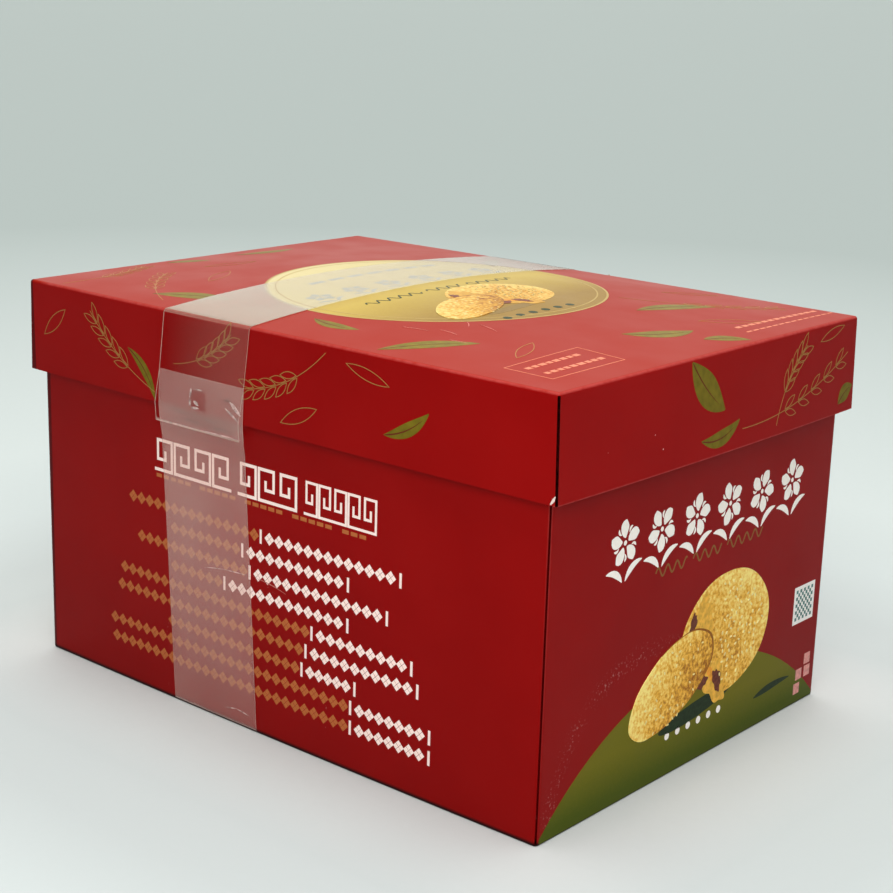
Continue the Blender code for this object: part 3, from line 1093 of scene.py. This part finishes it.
torn = bmesh.new()
brush(torn, [scaled(point) for point in TORN_MM], TORN_WIDTHS)
press("torn_corner_of_lid", torn, lid_long_wall, board_core, 1, False)
chips = bmesh.new()
for across, up, radius in CHIPS_MM:
    disc(chips, scaled((across, up)), radius * MM, radius * MM, 10)
press("chips_in_lid_print", chips, lid_end_wall, board_core, 1, False)
scratched = ink("scratched_print", SCRATCHED, 0.3, 1200.0)
for name, wall, scratches in (
    ("scratches_on_lid", lid_panel, SCRATCHES_ON_PANEL),
    ("scratches_on_tray", tray_long_wall, SCRATCHES_ON_WALL),
):
    scratch = bmesh.new()
    for start, end in scratches:
        line = arc_between(scaled(start), scaled(end), 0.5 * MM)
        brush(scratch, line, tapered(line, SCRATCH))
    press(name, scratch, wall, scratched, 3, False)


# Tape over the lid. Clear packing tape goes up one long wall, across the panel and down the other,
# pressed flat on the laminate. It is clear seen straight on and milky seen along its surface.
TAPE_WIDTH = 47.0 * MM
FILM = 0.06 * MM
LIFT = 0.14 * MM
TAPE_EDGE = 0.45 * MM
OVER_LID_END = 114.5 * MM
OVER_LID_SLANT = [(HEIGHT, -27.4 * MM), (136.0 * MM, -30.6 * MM), (OVER_LID_END, -35.2 * MM)]
FILM_CELL = 2.0 * MM
FILM_IOR = 1.45
FILM_GLOSS = 0.16
CLOUDS = (28.0, 1.5, 0.3, 0.7)
WELL_STUCK = 0.42
FILM_NEAR = (0.30, 0.252, 0.190)
FILM_FAR_SHADE = (0.165, 0.140, 0.100)
FILM_WALL = (1.0, 0.74, 0.60)
FILM_SIDE = (1.0, 0.68, 0.60)
LOW_ANGLE = (0.55, 0.80)
# Veils: their strength in the middle of the strip, and how much it grows across the strip
CUT_EDGE = 0.499
EDGE_HIGHLIGHT_VEIL = 0.08
FOLD_REFLECTION_VEIL = (0.14, -0.10)
OVER_LID_VEIL = (0.018, 0.040)
MOST_OVER_LID = 0.026


def read_off(value, stations):
    """Read a value off a list of (height, value) pairs that runs downwards."""
    for (high, at_high), (low, at_low) in zip(stations, stations[1:]):
        if value >= low:
            share = min(1.0, (high - value) / (high - low))
            return at_high + share * (at_low - at_high)
    return stations[-1][1]


def film_finish(name, near, far, on_wall, grazing):
    """Clear film, with the veil of each place, that closes up at a low angle where it is loose."""
    made, shader, place = new_finish(name, FILM_IOR)
    cloudy = grain(place, CLOUDS, 0.85, 1.15)
    slope = node_beside(place, "LayerWeight")
    slope.inputs["Blend"].default_value = 0.5
    reach = distance_to(place, scale=(1.0, 1.0, 0.0))
    loose = ranged(reach, ROUND_RADIUS - MM, ROUND_RADIUS + MM, WELL_STUCK, 1.0)
    closing = product(ranged(slope.outputs["Facing"], *LOW_ANGLE, 0.0, grazing), loose)
    # The veil attribute holds the film's haze, with painted highlights and a painted reflection in it
    veil = worked_out("MAXIMUM", attribute(place, "veil"), closing)
    lead(product(veil, cloudy), shader.inputs["Alpha"])
    # Painted shade: on the panel the film's colour darkens towards the far long wall
    far_shade_share = ranged(along(place, "Y"), 0.0, 0.9 * SIDE_Y)
    on_top = ranged(along(place, "Z"), HEIGHT - LID_FOLD, HEIGHT - 0.4 * LID_FOLD)
    film = mixed(on_top, on_wall, mixed(far_shade_share, near, far))
    lead(film, shader.inputs["Base Color"])
    shader.inputs["Roughness"].default_value = FILM_GLOSS
    return made


def lay_film(name, path, slant, side, veil_at, finish):
    """Lay a strip of film along a path of (y, z) points, on the long wall that side names."""
    cells = round(TAPE_WIDTH / FILM_CELL)
    columns = [-0.5, TAPE_EDGE / TAPE_WIDTH - 0.5]
    columns += [step / cells - 0.5 for step in range(1, cells)]
    columns += [-columns[1], 0.5]
    rows = len(path) - 1
    bm = bmesh.new()
    bmesh.ops.create_grid(bm, x_segments=len(columns) - 1, y_segments=rows, size=0.5)
    veil = bm.verts.layers.float.new("veil")
    for vert in bm.verts:
        y, z = path[round((vert.co.y + 0.5) * rows)]
        across = columns[round((vert.co.x + 0.5) * (len(columns) - 1))]
        x = read_off(z, slant) + across * TAPE_WIDTH
        rise = dome_at(x, y) if z > HEIGHT - LID_FOLD else 0.0
        vert[veil] = veil_at(y, z, across)
        vert.co = (x, side * bowed(x, y), z + rise)
    if side < 0.0:
        bmesh.ops.reverse_faces(bm, faces=bm.faces[:])
    made = make_piece(name, bm, finish)
    thick = made.modifiers.new("film", "SOLIDIFY")
    thick.thickness = FILM
    thick.offset = 1.0
    return made


def steps_between(start, end, count):
    """The points after start, up to end, in equal steps."""
    shares = [step / count for step in range(1, count + 1)]
    return [tuple(a + (b - a) * share for a, b in zip(start, end)) for share in shares]


def veil_over_lid(y, z, across):
    # Painted highlight: the cut edges get a stronger veil, for the bright lines along them
    if abs(across) > CUT_EDGE:
        return EDGE_HIGHLIGHT_VEIL
    # Painted reflection: where the film rolls over the fold, its veil stands in for the fold's
    # reflection
    if z > HEIGHT - LID_FOLD and abs(y) > SIDE_Y - 3.0 * LID_FOLD:
        return FOLD_REFLECTION_VEIL[0] + FOLD_REFLECTION_VEIL[1] * across
    return min(MOST_OVER_LID, OVER_LID_VEIL[0] + OVER_LID_VEIL[1] * across)


offset = SIDE_Y + LIFT
half = [((offset + TRAY_Y) / 2.0, OVER_LID_END)]
half += steps_between(half[-1], (offset, RIM_Z), 4)
half += steps_between(half[-1], (offset, HEIGHT - LID_FOLD), 10)
for step in range(1, 7):
    angle = math.pi / 2.0 * step / 6
    y = SIDE_Y - LID_FOLD + (LID_FOLD + LIFT) * math.cos(angle)
    half.append((y, HEIGHT - LID_FOLD + (LID_FOLD + LIFT) * math.sin(angle)))
half += steps_between(half[-1], (0.0, half[-1][1]), 48)
path = [(-y, z) for y, z in half] + half[-2::-1]
over_film = film_finish("film_over_lid", FILM_NEAR, FILM_FAR_SHADE, FILM_WALL, grazing=0.72)
over_lid = lay_film("tape_film_over_lid", path, OVER_LID_SLANT, 1.0, veil_over_lid, over_film)
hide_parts("tape_over_lid")


# Tape down the sides. A second strip laps over the end of the first on each long wall, bridges
# the step under the lid's rim, and runs down to the foot. It was pulled off the roll unevenly, so
# it is hazy, with creases, small folds and a torn flap where it laps over the rim. Its pale
# creases are partly painted highlights, and dark strokes on it are painted shade.
DOWN_SIDE_START = 136.2 * MM
DOWN_SIDE_END = 0.9 * MM
LANDING = 5.0 * MM
CREASE_HIGHLIGHT_COLOUR = (1.0, 0.66, 0.62)
SHADE_STROKE_COLOUR = (0.085, 0.006, 0.006)
# Pale strokes: whitened creases of film, partly painted highlights on creases and on the first strip's
# end
CREASES_AND_HIGHLIGHTS_MM = [
    ([(-35.6, 131.6), (-36.6, 127.6)], 0.9),
    ([(-36.8, 127.2), (-36.4, 124.2)], 1.2),
    ([(-35.9, 123.7), (-31.4, 124.2)], 1.0),
    ([(-34.4, 126.6), (-31.6, 125.2)], 1.5),
    ([(-34.4, 131.2), (-28.6, 131.4)], 0.4),
    ([(-14.4, 129.8), (-8.6, 125.4)], 1.8),
    ([(-17.0, 127.0), (-9.4, 122.6)], 0.9),
    ([(-58.2, 114.9), (-34.0, 115.3), (-9.4, 115.8)], 0.55),
    ([(-33.0, 60.2), (-22.0, 62.0), (-7.0, 62.8)], 0.3),
    ([(-22.0, 5.4), (-15.0, 6.6), (-8.0, 5.8)], 0.5),
]
# Painted shade: dark strokes on the film, in its hollows and under the lid's rim
SHADE_STROKES_MM = [
    ([(-17.6, 129.8), (-14.2, 130.2)], 1.0),
    ([(-48.0, 121.6), (-34.0, 120.4), (-20.0, 120.0)], 0.6),
    ([(-42.0, 118.8), (-28.0, 117.8), (-13.0, 118.2)], 0.8),
]
DOWN_SIDE_SLANT = [
    (DOWN_SIDE_START, -30.4 * MM),
    (RIM_Z, -31.0 * MM),
    (OVER_LID_END, -32.2 * MM),
    (OVER_LID_END - LANDING, -33.9 * MM),
    (DOWN_SIDE_END, -27.5 * MM),
]
START_EDGE_HIGHLIGHT_VEIL = 0.14
SIDE_EDGE_HIGHLIGHT_VEIL = (0.11, 0.12)
BRIDGE_HAZE_AND_REFLECTION_VEIL = 0.165
LAP_VEIL = 0.116
FLAP_VEIL = 0.05
FLAP_ACROSS = (-0.12, 0.07)
FLAP_HEIGHTS = (123.5 * MM, 131.0 * MM)
# On the tray: at the foot, for each metre above it, at most, and the change across the strip
TRAY_VEIL = (0.095, 0.85, 0.150, -0.025)
FOLD_PATCHES = (450.0, 2.0, 0.35, 0.65)


def veil_down_side(y, z, across):
    # Painted highlight along the strip's top cut edge and, below, along its side cut edges
    if z > DOWN_SIDE_START - 0.2 * MM:
        return START_EDGE_HIGHLIGHT_VEIL
    if abs(across) > CUT_EDGE:
        return SIDE_EDGE_HIGHLIGHT_VEIL[0] + SIDE_EDGE_HIGHLIGHT_VEIL[1] * across
    # Where the film hangs in the air over the step: its haze, with a painted reflection of the floor
    if OVER_LID_END < z < RIM_Z:
        return BRIDGE_HAZE_AND_REFLECTION_VEIL
    if z > RIM_Z:
        flap = FLAP_ACROSS[0] < across < FLAP_ACROSS[1] and FLAP_HEIGHTS[0] < z < FLAP_HEIGHTS[1]
        return FLAP_VEIL if flap else LAP_VEIL
    at_foot, upwards, most, sideways = TRAY_VEIL
    return min(most, at_foot + upwards * z) + sideways * across


def fold_and_shade_film(name, colour, veil):
    """Film strokes with a veil of their own: pale where a small fold doubles the film, dark as painted
    shade.
    """
    made, shader, place = new_finish(name, FILM_IOR)
    lead(grain(place, FOLD_PATCHES, 0.35 * veil, veil), shader.inputs["Alpha"])
    shader.inputs["Base Color"].default_value = (*colour, 1.0)
    shader.inputs["Roughness"].default_value = 0.3
    return made


over_first = SIDE_Y + 2.5 * LIFT
on_tray = TRAY_Y + LIFT
path = [(over_first, DOWN_SIDE_START)]
for point, count in (
    ((over_first, DOWN_SIDE_START - TAPE_EDGE), 1),
    ((over_first, RIM_Z), 7),
    (((over_first + TRAY_Y) / 2.0 + 3.0 * LIFT, OVER_LID_END), 4),
    ((on_tray, OVER_LID_END - LANDING), 3),
    ((on_tray, DOWN_SIDE_END), 53),
):
    path += steps_between(path[-1], point, count)
side_film = film_finish("film_down_side", FILM_SIDE, FILM_SIDE, FILM_SIDE, grazing=0.45)
crease_highlight_film = fold_and_shade_film("crease_highlight_film", CREASE_HIGHLIGHT_COLOUR, veil=0.50)
shade_stroke_film = fold_and_shade_film("shade_stroke_film", SHADE_STROKE_COLOUR, veil=0.07)
down_heights = [(z, y) for y, z in path]
for place_name, side in (("front", -1.0), ("back", 1.0)):
    name = "tape_film_down_" + place_name
    down = lay_film(name, path, DOWN_SIDE_SLANT, side, veil_down_side, side_film)
    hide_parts("tape_down_" + place_name)

    def on_film(u, v, rise):
        return Vector((u, side * (bowed(u, read_off(v, down_heights)) + FILM + rise), v))

    for part, strokes, finish in (
        ("creases_and_highlights", CREASES_AND_HIGHLIGHTS_MM, crease_highlight_film),
        ("shade_strokes", SHADE_STROKES_MM, shade_stroke_film),
    ):
        folds = bmesh.new()
        for points, width in strokes:
            for start, end in zip(points, points[1:]):
                line = arc_between(scaled(start), scaled(end), 0.1 * MM, 4)
                brush(folds, line, tapered(line, width * MM))
        press(part + "_in_tape_" + place_name, folds, on_film, finish, 2, False)


# Floor, light and camera. The carton stands on a pale floor, painted lighter and darker in places as
# painted light and shade, under a soft overhead light, with a pale backdrop behind it and a soft
# light by the camera, which stands where the photographer stood.
FLOOR_HALF = 40.0
# The floor's colour at distances from the carton's foot, painted light and shade: bright at the foot,
# dark far off
FLOOR_PAINTED_LIGHT = [
    (0.0, (0.460, 0.472, 0.460)),
    (0.055, (0.350, 0.380, 0.374)),
    (0.09, (0.352, 0.384, 0.378)),
    (0.16, (0.405, 0.446, 0.438)),
    (0.26, (0.432, 0.475, 0.463)),
    (1.15, (0.285, 0.328, 0.315)),
]
FLOOR_GRAIN = (0.30, 0.31, 0.30)
PAPER_GRAIN = (300.0, 2.0, 0.3, 0.7)
CAMERA_AT = Vector((0.4606, -0.5352, 0.2876))
CAMERA_TURN = math.radians(40.2489)
CAMERA_TILT = math.radians(15.0546)
CAMERA_ROLL = math.radians(1.7173)
SENSOR = 36.0
FRAME_PIXELS = 893.0
FOCAL_PIXELS = 1791.34
SKY_TINT = (1.0, 0.985, 0.93, 1.0)
SKY_STRENGTH = (0.12, 1.18)

floor_mesh = bmesh.new()
bmesh.ops.create_grid(floor_mesh, x_segments=8, y_segments=8, size=FLOOR_HALF)
floor_paper, shader, place = new_finish("floor_paper", 1.3)
beside = vector_step("SUBTRACT", vector_step("ABSOLUTE", place), (TRAY_END, TRAY_Y, 0.0))
reach = vector_step("LENGTH", vector_step("MAXIMUM", beside))
painted_floor = FLOOR_PAINTED_LIGHT[0][1]
for (start, shade), (end, next_shade) in zip(FLOOR_PAINTED_LIGHT, FLOOR_PAINTED_LIGHT[1:]):
    painted_floor = mixed(ranged(reach, start, end), painted_floor, next_shade)
painted_floor = mixed(grain(place, PAPER_GRAIN, 0.0, 0.04), painted_floor, FLOOR_GRAIN)
lead(painted_floor, shader.inputs["Base Color"])
shader.inputs["Roughness"].default_value = 0.85
make_object("floor", floor_mesh, floor_paper)

world = bpy.data.worlds.new("room")
bpy.context.scene.world = world
world.use_nodes = True
sky = world.node_tree.nodes["Background"]
sky.inputs["Color"].default_value = SKY_TINT
away = (-math.sin(CAMERA_TURN), math.cos(CAMERA_TURN), 0.0)
outward = world.node_tree.nodes.new("ShaderNodeTexCoord").outputs["Generated"]
toward = vector_step("DOT_PRODUCT", outward, away)
lead(ranged(toward, 0.0, 0.8, *SKY_STRENGTH), sky.inputs["Strength"])


def add_light(name, kind, place, target, power, spread):
    """A light that points at its target. spread is the angle of a sun or the size of a panel."""
    data = bpy.data.lights.new(name, kind)
    data.energy = power
    if kind == "SUN":
        data.angle = spread
    else:
        data.size = spread
    light = bpy.data.objects.new(name, data)
    light.location = place
    light.rotation_euler = (Vector(target) - light.location).to_track_quat("-Z", "Y").to_euler()
    bpy.context.scene.collection.objects.link(light)


overhead, by_camera = Vector((0.0, 0.0, 1.2)), Vector((0.40, -0.50, 0.44))
add_light("overhead", "SUN", overhead, (0.0, 0.0, 0.0), power=3.95, spread=math.radians(40.0))
add_light("by_camera", "AREA", by_camera, (0.06, 0.0, 0.10), power=3.1, spread=0.4)

camera_data = bpy.data.cameras.new("camera")
camera_data.sensor_width = SENSOR
camera_data.lens = SENSOR * FOCAL_PIXELS / FRAME_PIXELS
camera_data.clip_start = 0.01
camera_data.clip_end = 200.0
camera = bpy.data.objects.new("camera", camera_data)
bpy.context.scene.collection.objects.link(camera)
bpy.context.scene.camera = camera
aimed = Matrix.Rotation(CAMERA_TURN, 4, "Z") @ Matrix.Rotation(math.pi / 2.0 - CAMERA_TILT, 4, "X")
rolled = Matrix.Rotation(CAMERA_ROLL, 4, "Z")
camera.matrix_world = Matrix.Translation(CAMERA_AT) @ aimed @ rolled
bpy.context.scene.view_settings.view_transform = "Standard"
